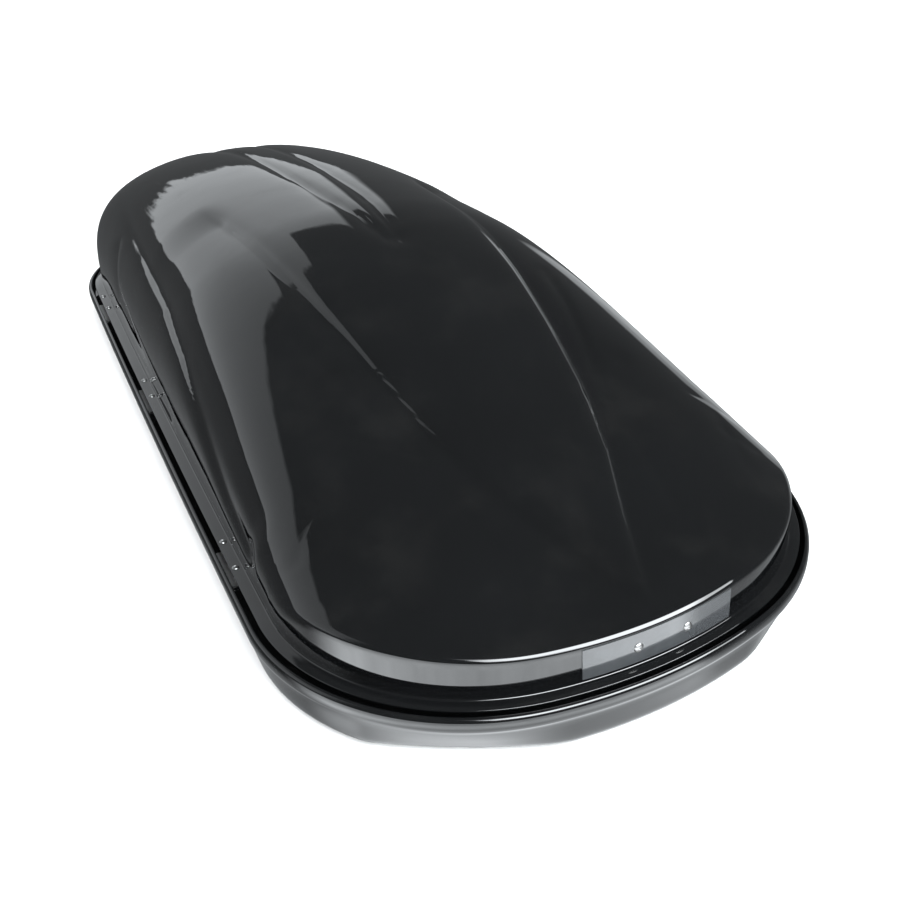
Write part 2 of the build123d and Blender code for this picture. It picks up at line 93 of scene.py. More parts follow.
def reach_y(radii):
    """How far the outline's arcs carry it from nose to tail."""
    return sum(r * (rad_cos(a) - rad_cos(b)) for r, a, b in zip(radii, HEADINGS, HEADINGS[1:]))


def side_radius():
    """Radius of the nearly straight side that closes the outline on the box's length."""
    short, long = 1e4, 3e4
    a, b = reach_y(arc_radii(short)), reach_y(arc_radii(long))
    return short + (LENGTH - a) * (long - short) / (b - a)


RADII = arc_radii(side_radius())


def outline(headings, inset=0.0):
    """Points of the right half of the outline, moved inwards."""
    headings = np.asarray(headings, float)
    points = np.zeros(headings.shape + (2,))
    x, y = 0.0, -LENGTH / 2
    for radius, start, end in zip(RADII, HEADINGS, HEADINGS[1:]):
        cx, cy = x - radius * rad_sin(start), y + radius * rad_cos(start)
        here = (headings >= start) & (headings <= end)
        points[here, 0] = cx + (radius - inset) * rad_sin(headings[here])
        points[here, 1] = cy - (radius - inset) * rad_cos(headings[here])
        x, y = cx + radius * rad_sin(end), cy - radius * rad_cos(end)
    return points


FINE = np.linspace(0, 180, 7201)
WALL_LINE = outline(FINE, SKIRT)
WIDEST_X, WIDEST_Y = outline([90.0], SKIRT)[0]
NOSE_Y, TAIL_Y = WALL_LINE[0, 1], WALL_LINE[-1, 1]


def smooth(t):
    """0 to 1 with level ends."""
    t = np.clip(t, 0, 1)
    return t * t * (3 - 2 * t)


def crown(y):
    """Height of the lid along its centre line."""
    v = np.clip((y - NOSE_Y) / (CROWN_Y - NOSE_Y), 0, 1)
    rise = (1 - NOSE_EASE) * (1 - (1 - v) ** 2) + NOSE_EASE * smooth(v)
    u = np.clip((y - CROWN_Y) / (TAIL_Y - CROWN_Y), 0, 1)
    front = NOSE_TOP + (HEIGHT - NOSE_TOP) * rise
    back = TAIL_TOP + (HEIGHT - TAIL_TOP) * (1 - u ** TAIL_ROUND) ** (1 / TAIL_ROUND)
    return np.where(y <= CROWN_Y, front, back)


def lid_height(x, y):
    """Height of the lid's outer skin before its lines are pressed in."""
    half = np.interp(y, WALL_LINE[:, 1], WALL_LINE[:, 0])
    reach = np.where(y < WIDEST_Y, WIDEST_X, np.maximum(half, 1e-6))
    q = np.clip(np.abs(x) / reach, 0, 1)
    return BASE_Z + (crown(y) - BASE_Z) * (1 - q * q) ** (1 / SHOULDER)


# ---- pressed lines of the lid -----------------------------------------------------------------
# Each is a run of points on the right side, mirrored on the left, with how deep the sheet is
# pressed in there and how far that fades out on either side of the line.

TOP_LINES = (
    # plan x, y points; depth; fade inboard; fade outboard; fade at first end; at last end
    (((198, 140), (189, 0), (182, -150), (168, -300), (151, -430), (131, -560), (98, -680), (58, -780),
      (22, -875)), 11.0, 55, 9, 120, 240),
    (((222, -300), (206, -390), (183, -480), (150, -590)), 3.5, 5, 14, 60, 40),
    (((232, -520), (190, -560), (146, -606)), 3.2, 5, 26, 40, 30),
    (((143, -657), (136, -730), (122, -800)), 2.0, 9, 5, 40, 60),
    (((38, 760), (37, 500), (34, 200), (27, 0), (15, -130), (1, -210)), 5.5, 13, 6, 120, 50),
    (((289, -592), (318, -616), (345, -655)), 1.0, 16, 5, 20, 16),
    (((290, -672), (308, -706), (324, -736)), 1.0, 16, 5, 20, 16),
    (((313, -632), (296, -700), (273, -792)), 1.2, 6, 20, 30, 50),
    (((150, -815), (112, -865), (72, -912)), 2.0, 8, 24, 40, 20),
)
SIDE_LINES = (
    # y, z points along the side wall; depth; fade upwards; fade downwards; fades at the ends
    (((640, 296), (507, 290), (250, 286), (10, 273), (-140, 248), (-274, 206), (-422, 152), (-545, 122)),
     8.0, 9, 70, 130, 60),
    (((430, 250), (395, 170), (230, 138), (69, 114), (-60, 100)), 4.0, 40, 10, 30, 60),
)


TOP_SOFT, SIDE_SOFT = 3.0, 9.0   # how round the bottom of a pressed line is
FRONT_OF_SIDE_LINES = -640.0     # the side lines fade in behind this


def press(u, v, line, soft):
    """How far a point is pressed in by one line, from its signed distance to it."""
    points, depth, fade_left, fade_right, fade_start, fade_end = line
    points = np.array(points, float)
    best = np.full(u.shape, 1e9)
    signed, along = np.zeros(u.shape), np.zeros(u.shape)
    run = 0.0
    total = np.linalg.norm(np.diff(points, axis=0), axis=1).sum()
    for k, (a, b) in enumerate(zip(points, points[1:])):
        step = b - a
        size = np.linalg.norm(step)
        t = ((u - a[0]) * step[0] + (v - a[1]) * step[1]) / size ** 2
        low = -10.0 if k == 0 else 0.0
        high = 11.0 if k == len(points) - 2 else 1.0
        t = np.clip(t, low, high)
        du, dv = u - a[0] - t * step[0], v - a[1] - t * step[1]
        far = np.hypot(du, dv)
        side = np.sign(step[0] * dv - step[1] * du)
        here = far < best
        best = np.where(here, far, best)
        signed = np.where(here, far * side, signed)
        along = np.where(here, run + t * size, along)
        run += size
    ends = smooth(along / fade_start + 0.5) * smooth((total - along) / fade_end + 0.5)
    far = np.sqrt(best ** 2 + soft ** 2) - soft
    fade = np.where(signed > 0, fade_left, fade_right)
    return depth * ends * np.exp(-far / fade)


def pressed(x, y, z, up):
    """Total depth pressed into the lid at each point; up is the upward share of its normal."""
    depth = np.zeros(x.shape)
    on_top = smooth((up - 0.25) / 0.3)
    for line in TOP_LINES:
        depth += press(x, y, line, TOP_SOFT) * on_top
    on_side = smooth((0.8 - up) / 0.3) * smooth((y - FRONT_OF_SIDE_LINES) / 90)
    for line in SIDE_LINES:
        depth += press(y, z, line, SIDE_SOFT) * on_side
    # the tail's middle is dished a little between the two spear lines
    dish = smooth((y - 500) / 350) * np.exp(-(x / 60.0) ** 2)
    return depth + 6.0 * dish * on_top


# ---- meshes -----------------------------------------------------------------------------------

SPINE = (-640.0, 660.0)          # the rows of the lid and floor meet on this part of the centre line


def stations(count):
    """Headings evenly spaced along the half outline."""
    line = outline(FINE, SKIRT)
    run = np.concatenate([[0], np.cumsum(np.linalg.norm(np.diff(line, axis=0), axis=1))])
    return np.interp(np.linspace(0, run[-1], count + 1), run, FINE)


def spine_y(count):
    """Where each row ends on the centre line."""
    return np.linspace(SPINE[0], SPINE[1], count + 1)


def lid_profile(wall_point, spine, inset_from_skin, rows):
    """One row of points up the lid's wall and in to the centre line."""
    t = np.linspace(0, 1, 900) ** 3
    x = wall_point[0] * (1 - t)
    y = wall_point[1] + (spine - wall_point[1]) * t
    z = lid_height(x, y) - inset_from_skin
    top = np.stack([x, y, z], 1)
    run = np.concatenate([[0], np.cumsum(np.linalg.norm(np.diff(top, axis=0), axis=1))])
    foot = np.array([wall_point[0], wall_point[1], RIM_Z + (FLANGE if inset_from_skin == 0 else 0)])
    band = top[0, 2] - foot[2]

    def on_top(distance):
        return np.stack([np.interp(distance, run, top[:, k]) for k in range(3)], -1)

    r = min(EDGE_ROUND, band * 0.3)
    band_rows, bend_rows, top_rows = rows
    low = np.linspace(0, 1, band_rows, endpoint=False)[:, None]
    corner = top[0]
    before = corner - np.array([0, 0, r])
    after = on_top(np.array([r]))[0]
    wall = foot + (before - foot) * low
    w = np.linspace(0, 1, bend_rows, endpoint=False)[:, None]
    bend = (1 - w) ** 2 * before + 2 * w * (1 - w) * corner + w ** 2 * after
    u = np.linspace(0, 1, top_rows)
    over = on_top(r + (run[-1] - r) * (0.55 * u + 0.45 * u * u))
    return np.concatenate([wall, bend, over])


def full_turn(half):
    """Right half rows (stations, rows, 3) to the whole turn, mirrored on the left."""
    left = half[1:-1][::-1] * np.array([-1, 1, 1])
    return np.concatenate([half, left])


def grid_faces(count, rows, start=0):
    """Quads of a closed turn of stations, with rows running along the profile."""
    i = np.arange(count)[:, None]
    j = np.arange(rows - 1)[None, :]
    nxt = (i + 1) % count
    quads = np.stack([i * rows + j, nxt * rows + j, nxt * rows + j + 1, i * rows + j + 1], -1)
    return quads.reshape(-1, 4) + start


def closed_mesh(name, grid):
    """Closed body from rows that start on the centre line, go round the section and end on it."""
    count, rows, _ = grid.shape
    mesh = bpy.data.meshes.new(name)
    mesh.from_pydata((grid.reshape(-1, 3) * MM).tolist(), [], grid_faces(count, rows).tolist())
    work = bmesh.new()
    work.from_mesh(mesh)
    bmesh.ops.remove_doubles(work, verts=work.verts, dist=2e-5)
    bmesh.ops.dissolve_degenerate(work, dist=1e-6, edges=work.edges)
    bmesh.ops.recalc_face_normals(work, faces=work.faces)
    work.to_mesh(mesh)
    work.free()
    mesh.shade_smooth()
    piece = bpy.data.objects.new(name, mesh)
    bpy.context.scene.collection.objects.link(piece)
    return piece


def grid_normals(grid):
    """Unit normals of a turned grid, outwards for rows that run up and in."""
    along = np.roll(grid, -1, 0) - np.roll(grid, 1, 0)
    up = np.gradient(grid, axis=1)
    n = np.cross(along, up)
    return n / np.maximum(np.linalg.norm(n, axis=2, keepdims=True), 1e-9)


LID_STATIONS = 340               # rows of the lid's mesh along half the outline
LID_ROWS = (8, 9, 100)          # points of a row up the band, round its edge and over the top
INNER_ROWS = (3, 2, 18)


def lid_skin(inset, rows):
    """One skin of the lid, moved in and down from the outer one."""
    walls = outline(stations(LID_STATIONS), SKIRT + inset)
    spines = spine_y(LID_STATIONS)
    half = np.array([lid_profile(w, s, inset, rows) for w, s in zip(walls, spines)])
    half[0, :, 0] = 0
    half[-1, :, 0] = 0
    half[:, -1, 0] = 0
    return full_turn(half)


def press_lines(skin, fade_height=None):
    """The skin with its lines pressed in along its normals, fading out towards its foot if asked."""
    normals = grid_normals(skin)
    x, y, z = np.abs(skin[..., 0]), skin[..., 1], skin[..., 2]
    depth = pressed(x, y, z, normals[..., 2])
    if fade_height:
        depth *= smooth((z - BASE_Z) / fade_height)
    skin = skin - normals * depth[..., None]
    skin[:, -1, 0] = 0
    return skin


def make_lid():
    outer = press_lines(lid_skin(0.0, LID_ROWS), 12)
    inner = press_lines(lid_skin(WALL, INNER_ROWS))
    heads = stations(LID_STATIONS)
    top_z, low_z = RIM_Z + FLANGE, RIM_Z
    rim = ((SKIRT + WALL, low_z), (SKIRT, low_z), (FLANGE_EDGE + 0.7, low_z), (FLANGE_EDGE, low_z + 0.6),
           (FLANGE_EDGE, top_z - 0.8), (FLANGE_EDGE + 0.8, top_z), (SKIRT - 2.4, top_z),
           (SKIRT - 0.7, top_z + 0.5))
    ring = np.array([np.column_stack([outline(heads, inset), np.full(len(heads), z)]) for inset, z in rim])
    ring = full_turn(ring.transpose(1, 0, 2))
    foot = outer[:, :1].copy()
    foot[..., 2] = top_z + 2.6
    body = np.concatenate([inner[:, ::-1], ring[:, 1:], foot, outer[:, 1:]], axis=1)
    return closed_mesh("lid", body)


TRAY_STATIONS = 300
TRAY_SECTION = (
    # inset from the outline, height: under the floor, up the wall, over the bead, gutter and seal's
    # upstand, and down inside
    (48, 0.0), (28.5, 0.0), (25.5, 0.8), (18.5, 5.6), (12.6, 10.4), (10.4, 13.2), (9.4, 17.0), (8.8, 22.0),
    (8.2, 30.0), (7.6, 40.0), (7.0, 48.0), (6.2, 52.0), (5.0, 54.0), (3.2, 55.2), (1.5, 57.2), (0.4, 60.0),
    (0.0, 63.5), (0.0, 69.0), (0.5, 72.6), (1.9, 75.6), (3.8, 77.4), (5.6, 78.0), (7.0, 77.5), (7.9, 76.0),
    (8.0, 74.0), (8.0, 60.0), (8.8, 57.2), (11.0, 56.0), (41.6, 56.0), (42.7, 57.0), (43.0, 58.6),
    (43.0, 69.0), (43.8, 70.0), (45.2, 70.0), (46.0, 69.0), (46.0, 53.0), (45.0, 52.0), (14.0, 52.0),
    (12.8, 50.4), (12.6, 46.0), (13.6, 20.0), (15.0, 15.5), (21.0, 9.6), (29.0, 4.4), (48, 4.0),
)
FACET = (12.0, 55.0)             # headings between which the tray's front corners are pressed flat
FACET_DEPTH = 15.0
FACET_RISE = 50.0                # height over which they fade out below the rim


def facet_inset(heading, z):
    """Extra inset of the tray's wall where its front corners are flattened, most at the bottom."""
    u = (heading - FACET[0]) / (FACET[1] - FACET[0])
    if not 0 < u < 1:
        return 0.0
    return FACET_DEPTH * 4 * u * (1 - u) * float(smooth((RIM_Z - 20 - z) / FACET_RISE))


def make_tray():
    """The tray with its floor, wall, bead, gutter and upstand as one closed sheet."""
    heads = stations(TRAY_STATIONS)
    spines = spine_y(TRAY_STATIONS)
    spread = np.linspace(0, 1, 10)
    columns = []
    for heading, spine in zip(heads, spines):
        section = []
        for inset, z in TRAY_SECTION:
            x, y = outline([heading], inset + facet_inset(heading, z))[0]
            section.append((x, y, z))
        first, last = section[0], section[-1]
        centre_low, centre_high = (0, spine, first[2]), (0, spine, last[2])
        under = [tuple(np.array(centre_low) * (1 - t) + np.array(first) * t) for t in spread[:-1]]
        over = [tuple(np.array(last) * (1 - t) + np.array(centre_high) * t) for t in spread[1:]]
        columns.append(under + section + over)
    half = np.array(columns)
    half[0, :, 0] = 0
    half[-1, :, 0] = 0
    return closed_mesh("tray", full_turn(half))


# ---- shader maths -----------------------------------------------------------------------------

def put(tree, socket, value):
    """Links or sets one input."""
    if isinstance(value, Value):
        value = value.socket
    if isinstance(value, bpy.types.NodeSocket):
        tree.links.new(value, socket)
    else:
        socket.default_value = value


def add_node(tree, kind, settings=None, places=None, **inputs):
    """One node: its settings first, then its inputs by place or by name."""
    made = tree.nodes.new(kind)
    for key, value in (settings or {}).items():
        setattr(made, key, value)
    for key, value in (places or {}).items():
        put(tree, made.inputs[key], value)
    for key, value in inputs.items():
        put(tree, made.inputs[key.replace("_", " ")], value)
    return made


class Value:
    """A number in a material, so that its formula is written as plain arithmetic."""

    def __init__(self, tree, socket):
        self.tree = tree
        self.socket = socket

    def _math(self, operation, first, second):
        made = add_node(self.tree, "ShaderNodeMath", {"operation": operation}, {0: first, 1: second})
        return Value(self.tree, made.outputs[0])

    def __add__(self, other):
        return self._math("ADD", self, other)

    def __radd__(self, other):
        return self._math("ADD", other, self)

    def __sub__(self, other):
        return self._math("SUBTRACT", self, other)

    def __rsub__(self, other):
        return self._math("SUBTRACT", other, self)

    def __mul__(self, other):
        return self._math("MULTIPLY", self, other)

    def __rmul__(self, other):
        return self._math("MULTIPLY", other, self)

    def __truediv__(self, other):
        return self._math("DIVIDE", self, other)

    def clamp(self):
        above = self._math("MAXIMUM", self, 0.0)
        return self._math("MINIMUM", above, 1.0)

    def step(self, low, high):
        """0 below low, 1 above high, smooth between."""
        t = ((self - low) / (high - low)).clamp()
        return t * t * (3.0 - 2.0 * t)


class Finish:
    """A material with one Principled shader and the noises it uses."""

    def __init__(self, name, **uniform):
        self.material = bpy.data.materials.new(name)
        self.material.use_nodes = True
        self.tree = self.material.node_tree
        self.tree.nodes.clear()
        self.shader = self.node("ShaderNodeBsdfPrincipled", **uniform)
        self.node("ShaderNodeOutputMaterial", Surface=self.shader.outputs[0])
        self.place = self.node("ShaderNodeTexCoord").outputs["Object"]

    def node(self, kind, settings=None, places=None, **inputs):
        return add_node(self.tree, kind, settings, places, **inputs)

    def noise(self, scale, detail=3.0, roughness=0.55, stretch=(1, 1, 1), offset=0.0):
        moved = self.node("ShaderNodeMapping", Vector=self.place, Scale=stretch, Location=(offset, offset, 0))
        made = self.node("ShaderNodeTexNoise", Vector=moved.outputs[0], Scale=scale, Detail=detail,
                         Roughness=roughness)
        return Value(self.tree, made.outputs[0])

    def cells(self, scale, offset=0.0):
        moved = self.node("ShaderNodeMapping", Vector=self.place, Location=(offset, offset, offset))
        made = self.node("ShaderNodeTexVoronoi", Vector=moved.outputs[0], Scale=scale)
        return Value(self.tree, made.outputs["Distance"])

    def facing_up(self):
        geometry = self.node("ShaderNodeNewGeometry")
        split = self.node("ShaderNodeSeparateXYZ", Vector=geometry.outputs["Normal"])
        return Value(self.tree, split.outputs["Z"])

    def mix(self, amount, low, high):
        made = self.node("ShaderNodeMix", {"data_type": "RGBA"}, {0: amount, 6: low, 7: high})
        return made.outputs[2]

    def bump(self, *layers):
        """Layers of (height, depth in metres), stacked into the shader's normal."""
        below = {}
        for value, distance in layers:
            made = self.node("ShaderNodeBump", Height=value, Distance=distance, Strength=1.0, **below)
            below = {"Normal": made.outputs[0]}
        self.set(**below)

    def set(self, **inputs):
        for key, value in inputs.items():
            put(self.tree, self.shader.inputs[key.replace("_", " ")], value)
        return self.material


def grey(value, tint=0.0):
    """A near-neutral colour, bluer as tint rises."""
    return (value * (1 - tint), value, value * (1 + tint), 1)


def gloss_sheet(name, dust):
    """Glossy black vacuum-formed ABS, with its slow waves, faint grain, fine scratches and dust."""
    f = Finish(name, Specular_IOR_Level=0.5, IOR=1.52, Coat_Roughness=0.03)
    cloud = f.noise(5.0, 4.0)
    scratch = f.noise(26.0, 2.0, stretch=(9, 0.6, 1)).step(0.68, 0.73) * f.noise(7.0).step(0.5, 0.62)
    film = (f.noise(9.0, 6.0, 0.65).step(0.46, 0.74) * f.facing_up().step(0.25, 0.95)) * dust
    marks = (1.0 - f.cells(5.5, offset=3.1).step(0.055, 0.075)) * f.noise(3.1, offset=2.0).step(0.56, 0.6)
    base = f.mix(cloud, grey(0.0022, 0.06), grey(0.0046, 0.09))
    base = f.mix(film * 0.12, base, (0.07, 0.068, 0.064, 1))
    rough = 0.018 + cloud * 0.012 + film * 0.05 + scratch * 0.1 + marks * 0.08
    f.bump((f.noise(4.2, 2.0), 0.0016), (f.noise(17.0, 2.0), 0.00016), (f.noise(420.0, 1.0), 0.000003),
           (scratch, -0.000012))
    return f.set(Base_Color=base, Roughness=rough, Coat_Weight=film * -0.5 + 0.6)


def moulded(name, low, high, rough, grain=0.00003, tint=0.04):
    """Plain moulded plastic or rubber."""
    f = Finish(name)
    cloud = f.noise(30.0, 4.0)
    wear = f.noise(90.0, 3.0).step(0.55, 0.75)
    base = f.mix(cloud, grey(low, tint), grey(high, tint))
    f.bump((f.noise(900.0, 2.0), grain), (cloud, grain * 4))
    return f.set(Base_Color=base, Roughness=rough + cloud * 0.08 + wear * 0.08)


def metal(name, low, high, rough, brushed=(1, 1, 1), dull=0.3):
    """Bare or plated metal, with drawn lines and patches of tarnish."""
    f = Finish(name, Metallic=1.0)
    cloud = f.noise(60.0, 5.0)
    lines = f.noise(300.0, 2.0, stretch=brushed)
    tarnish = f.noise(25.0, 6.0, 0.7).step(0.5, 0.75)
    base = f.mix(cloud, grey(low), grey(high))
    base = f.mix(tarnish * dull, base, (0.22, 0.2, 0.17, 1))
    f.bump((lines, 0.00002), (cloud, 0.00004))
    return f.set(Base_Color=base, Roughness=rough + lines * 0.12 + tarnish * 0.15)


def clear_plate():
    """Smoked clear plastic of the nose plate, with light haze and scratches."""
    f = Finish("smoked_plate", IOR=1.49)
    haze = f.noise(40.0, 5.0)
    scratch = f.noise(60.0, 2.0, stretch=(1, 8, 14)).step(0.66, 0.72)
    base = f.mix(haze, grey(0.035, 0.05), grey(0.06, 0.07))
    f.bump((f.noise(12.0, 2.0), 0.0004), (scratch, -0.00001))
    return f.set(Base_Color=base, Roughness=0.05 + haze * 0.06 + scratch * 0.15, Coat_Weight=0.8)


def painted():
    """Black paint of the gas strut cylinders, chipped to bare steel here and there."""
    f = Finish("strut_paint")
    cloud = f.noise(25.0, 4.0)
    chip = f.noise(140.0, 4.0, 0.7).step(0.7, 0.74)
    base = f.mix(cloud, grey(0.012), grey(0.024))
    base = f.mix(chip, base, (0.3, 0.3, 0.3, 1))
    f.bump((f.noise(500.0), 0.00002), (chip, -0.00004))
    return f.set(Base_Color=base, Roughness=0.28 + cloud * 0.1 + chip * 0.1, Metallic=chip)


FINISHES = {
    "lid_plastic": gloss_sheet("lid_gloss", 0.35),
    "tray_plastic": gloss_sheet("tray_gloss", 0.5),
    "plate_plastic": clear_plate(),
    "seal_rubber": moulded("seal_rubber_black", 0.012, 0.022, 0.62, 0.00006, 0.0),
    "nylon": moulded("guide_nylon", 0.02, 0.035, 0.42),
    "lock_plastic": moulded("lock_plastic_black", 0.012, 0.02, 0.3),
    "rivet_steel": metal("rivet_aluminium", 0.42, 0.6, 0.26),
    "bright_steel": metal("bright_steel_pin", 0.55, 0.68, 0.14, (1, 1, 12), 0.15),
    "black_paint": painted(),
    "zinc_steel": metal("zinc_plate", 0.5, 0.66, 0.28, (8, 1, 1), 0.4),
}


# ---- pieces -----------------------------------------------------------------------------------

def dress(node):
    """Gives a CAD node's slots their finish."""
    for place in node.material_slots:
        name = place.material.name.split(".")[0]
        if name in FINISHES:
            place.material = FINISHES[name]


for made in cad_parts.values():
    dress(made)

lid = make_lid()
lid.data.materials.append(FINISHES["lid_plastic"])
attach(lid, "lid")
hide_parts("lid_shell")


def turned(name, profile, sides=28):
    """Closed body turned about Z from (radius, height) points that start and end on the axis."""
    verts = [(0, 0, profile[0][1] * MM)]
    for radius, height in profile[1:-1]:
        for k in range(sides):
            a = 2 * math.pi * k / sides
            verts.append((radius * math.cos(a) * MM, radius * math.sin(a) * MM, height * MM))
    verts.append((0, 0, profile[-1][1] * MM))
    rings = len(profile) - 2
    faces = [(0, 1 + k, 1 + (k + 1) % sides) for k in range(sides)]
    for ring in range(rings - 1):
        a, b = 1 + ring * sides, 1 + (ring + 1) * sides
        faces += [(a + k, b + k, b + (k + 1) % sides, a + (k + 1) % sides) for k in range(sides)]
    last = 1 + (rings - 1) * sides
    faces += [(last + k, len(verts) - 1, last + (k + 1) % sides) for k in range(sides)]
    mesh = bpy.data.meshes.new(name)
    mesh.from_pydata(verts, [], faces)
    mesh.shade_smooth()
    mesh.set_sharp_from_angle(angle=math.radians(42))
    return bpy.data.objects.new(name, mesh)


def rivet_pattern(head, grip):
    """Blind rivet: domed head with the pit its mandrel left, shank and swelled tail."""
    pit, shank, tail, tail_h = 0.26 * head, 2.0, 3.2, 1.4
    dome = [(head * math.sin(a), head * 0.5 * math.cos(a)) for a in np.radians((22, 38, 54, 70, 82))]
    return turned("rivet_pattern", [(0, head * 0.30), (pit * 0.8, head * 0.31), (pit, head * 0.42),
                                    (pit * 1.15, head * 0.475)] + dome +
                  [(head, head * 0.03), (head, 0.0), (shank, 0.0), (shank, -grip), (tail, -grip),
                   (tail, -grip - tail_h * 0.8), (tail * 0.8, -grip - tail_h), (0, -grip - tail_h)])


def rivet_tree():
    """Stands a copy of the pattern on every point, its Z along the point's out direction."""
    tree = bpy.data.node_groups.new("rivets_on_points", "GeometryNodeTree")
    face = tree.interface
    face.new_socket("Points", in_out="INPUT", socket_type="NodeSocketGeometry")
    face.new_socket("Rivet", in_out="INPUT", socket_type="NodeSocketObject")
    face.new_socket("Turn", in_out="INPUT", socket_type="NodeSocketFloat")
    face.new_socket("Finish", in_out="INPUT", socket_type="NodeSocketMaterial")
    face.new_socket("Rivets", in_out="OUTPUT", socket_type="NodeSocketGeometry")
    given = add_node(tree, "NodeGroupInput").outputs
    out = add_node(tree, "GeometryNodeInputNamedAttribute", {"data_type": "FLOAT_VECTOR"}, Name="out")
    align = add_node(tree, "FunctionNodeAlignRotationToVector", {"axis": "Z"},
                     Vector=out.outputs["Attribute"])
    chance = add_node(tree, "FunctionNodeRandomValue", {"data_type": "FLOAT"}, {3: given["Turn"]}, Seed=7)
    spin = add_node(tree, "FunctionNodeAxisAngleToRotation", Axis=(0, 0, 1), Angle=chance.outputs[1])
    turn = add_node(tree, "FunctionNodeRotateRotation", {"rotation_space": "LOCAL"},
                    {0: align.outputs[0], 1: spin.outputs[0]})
    source = add_node(tree, "GeometryNodeObjectInfo", Object=given["Rivet"])
    stand = add_node(tree, "GeometryNodeInstanceOnPoints", Points=given["Points"],
                     Instance=source.outputs["Geometry"], Rotation=turn.outputs[0])
    real = add_node(tree, "GeometryNodeRealizeInstances", places={0: stand.outputs[0]})
    finish = add_node(tree, "GeometryNodeSetMaterial", Geometry=real.outputs[0], Material=given["Finish"])
    add_node(tree, "NodeGroupOutput", places={0: finish.outputs[0]})
    return tree


def solids_of(node):
    """Vertices of each separate solid of a CAD node."""
    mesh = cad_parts[node].data
    co = np.array([v.co for v in mesh.vertices])
    _, same = np.unique(np.round(co, 6), axis=0, return_inverse=True)
    same = same.ravel()
    label = np.arange(same.max() + 1)
    edges = np.array([e.vertices for e in mesh.edges])
    a, b = same[edges[:, 0]], same[edges[:, 1]]
    while True:
        low = np.minimum(label[a], label[b])
        before = label.copy()
        np.minimum.at(label, a, low)
        np.minimum.at(label, b, low)
        if (label == before).all():
            break
    return [co[label[same] == k] for k in np.unique(label)]


HEAD_SLICE = 0.0012              # metres of a rivet's outer end that count as its head


def make_rivets(node, name, body, head, grip, out_of):
    """Blind rivets in place of a CAD node's, where its heads sit."""
    places, outs = [], []
    for solid in solids_of(node):
        middle = (solid.min(0) + solid.max(0)) / 2
        out = np.array(out_of(middle), float)
        out /= np.linalg.norm(out)
        far = (solid - middle) @ out
        cad_head = solid[far > far.max() - HEAD_SLICE].mean(0)
        dome_height = head * 0.5 * MM
        places.append(cad_head + out * ((far.max() - (cad_head - middle) @ out) - dome_height))
        outs.append(out)
    mesh = bpy.data.meshes.new(name + "_points")
    mesh.from_pydata([tuple(p) for p in places], [], [])
    mesh.attributes.new("out", "FLOAT_VECTOR", "POINT").data.foreach_set("vector", np.array(outs).ravel())
    holder = bpy.data.objects.new(name + "_points", mesh)
    bpy.context.scene.collection.objects.link(holder)
    pattern = rivet_pattern(head, grip)
    bpy.context.scene.collection.objects.link(pattern)
    tree = rivet_tree()
    modifier = holder.modifiers.new("rivets", "NODES")
    modifier.node_group = tree
    given = {"Rivet": pattern, "Turn": 2 * math.pi, "Finish": FINISHES["rivet_steel"]}
    for item in tree.interface.items_tree:
        if item.in_out == "INPUT" and item.name in given:
            modifier[item.identifier] = given[item.name]
    holder.update_tag()
    graph = bpy.context.evaluated_depsgraph_get()
    made = bpy.data.meshes.new_from_object(holder.evaluated_get(graph))
    made.name = name
    piece = bpy.data.objects.new(name, made)
    bpy.context.scene.collection.objects.link(piece)
    bpy.data.objects.remove(holder)
    bpy.data.objects.remove(pattern)
    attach(piece, body)
    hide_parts(node)


make_rivets("hinge_lid_rivets", "hinge_rivets", "lid", 5.0, 5.5, lambda middle: (0, 0, 1))
make_rivets("front_plate_rivets", "plate_rivets", "lid", 6.8, 5.5,
            lambda middle: (middle[0], -(RADII[0] - SKIRT) * MM, 0))


def slot_cutter():
    """Four long holes through the tray's floor, under the floor rails."""
    rail_x, half_w, reach, pitch = 245.0, 4.25, 115.75, 260.0
    turn = np.linspace(0, math.pi, 13)
    ring = [(half_w * math.cos(a), reach + half_w * math.sin(a)) for a in turn]
    ring += [(-x, -y) for x, y in ring]
    verts, faces = [], []
    for side in (-1, 1):
        for end in (-1, 1):
            start = len(verts)
            count = len(ring)
            for z in (-10, 12):
                verts += [((side * rail_x + x) * MM, (end * pitch + y) * MM, z * MM) for x, y in ring]
            faces.append([start + k for k in range(count)][::-1])
            faces.append([start + count + k for k in range(count)])
            faces += [[start + k, start + (k + 1) % count, start + count + (k + 1) % count, start + count + k]
                      for k in range(count)]
    mesh = bpy.data.meshes.new("slot_cutter")
    mesh.from_pydata(verts, [], faces)
    piece = bpy.data.objects.new("slot_cutter", mesh)
    bpy.context.scene.collection.objects.link(piece)
    return piece


def cut_slots(piece):
    """Cuts the roof-bar slots through the tray's floor."""
    cutter = slot_cutter()
    modifier = piece.modifiers.new("slots", "BOOLEAN")
    modifier.object = cutter
    modifier.solver = "EXACT"
    graph = bpy.context.evaluated_depsgraph_get()
    piece.data = bpy.data.meshes.new_from_object(piece.evaluated_get(graph))
    piece.modifiers.clear()
    bpy.data.objects.remove(cutter)


tray = make_tray()
cut_slots(tray)
tray.data.materials.clear()
tray.data.materials.append(FINISHES["tray_plastic"])
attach(tray, "root")
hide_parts("base_tray")


# ---- floor, light and camera ------------------------------------------------------------------

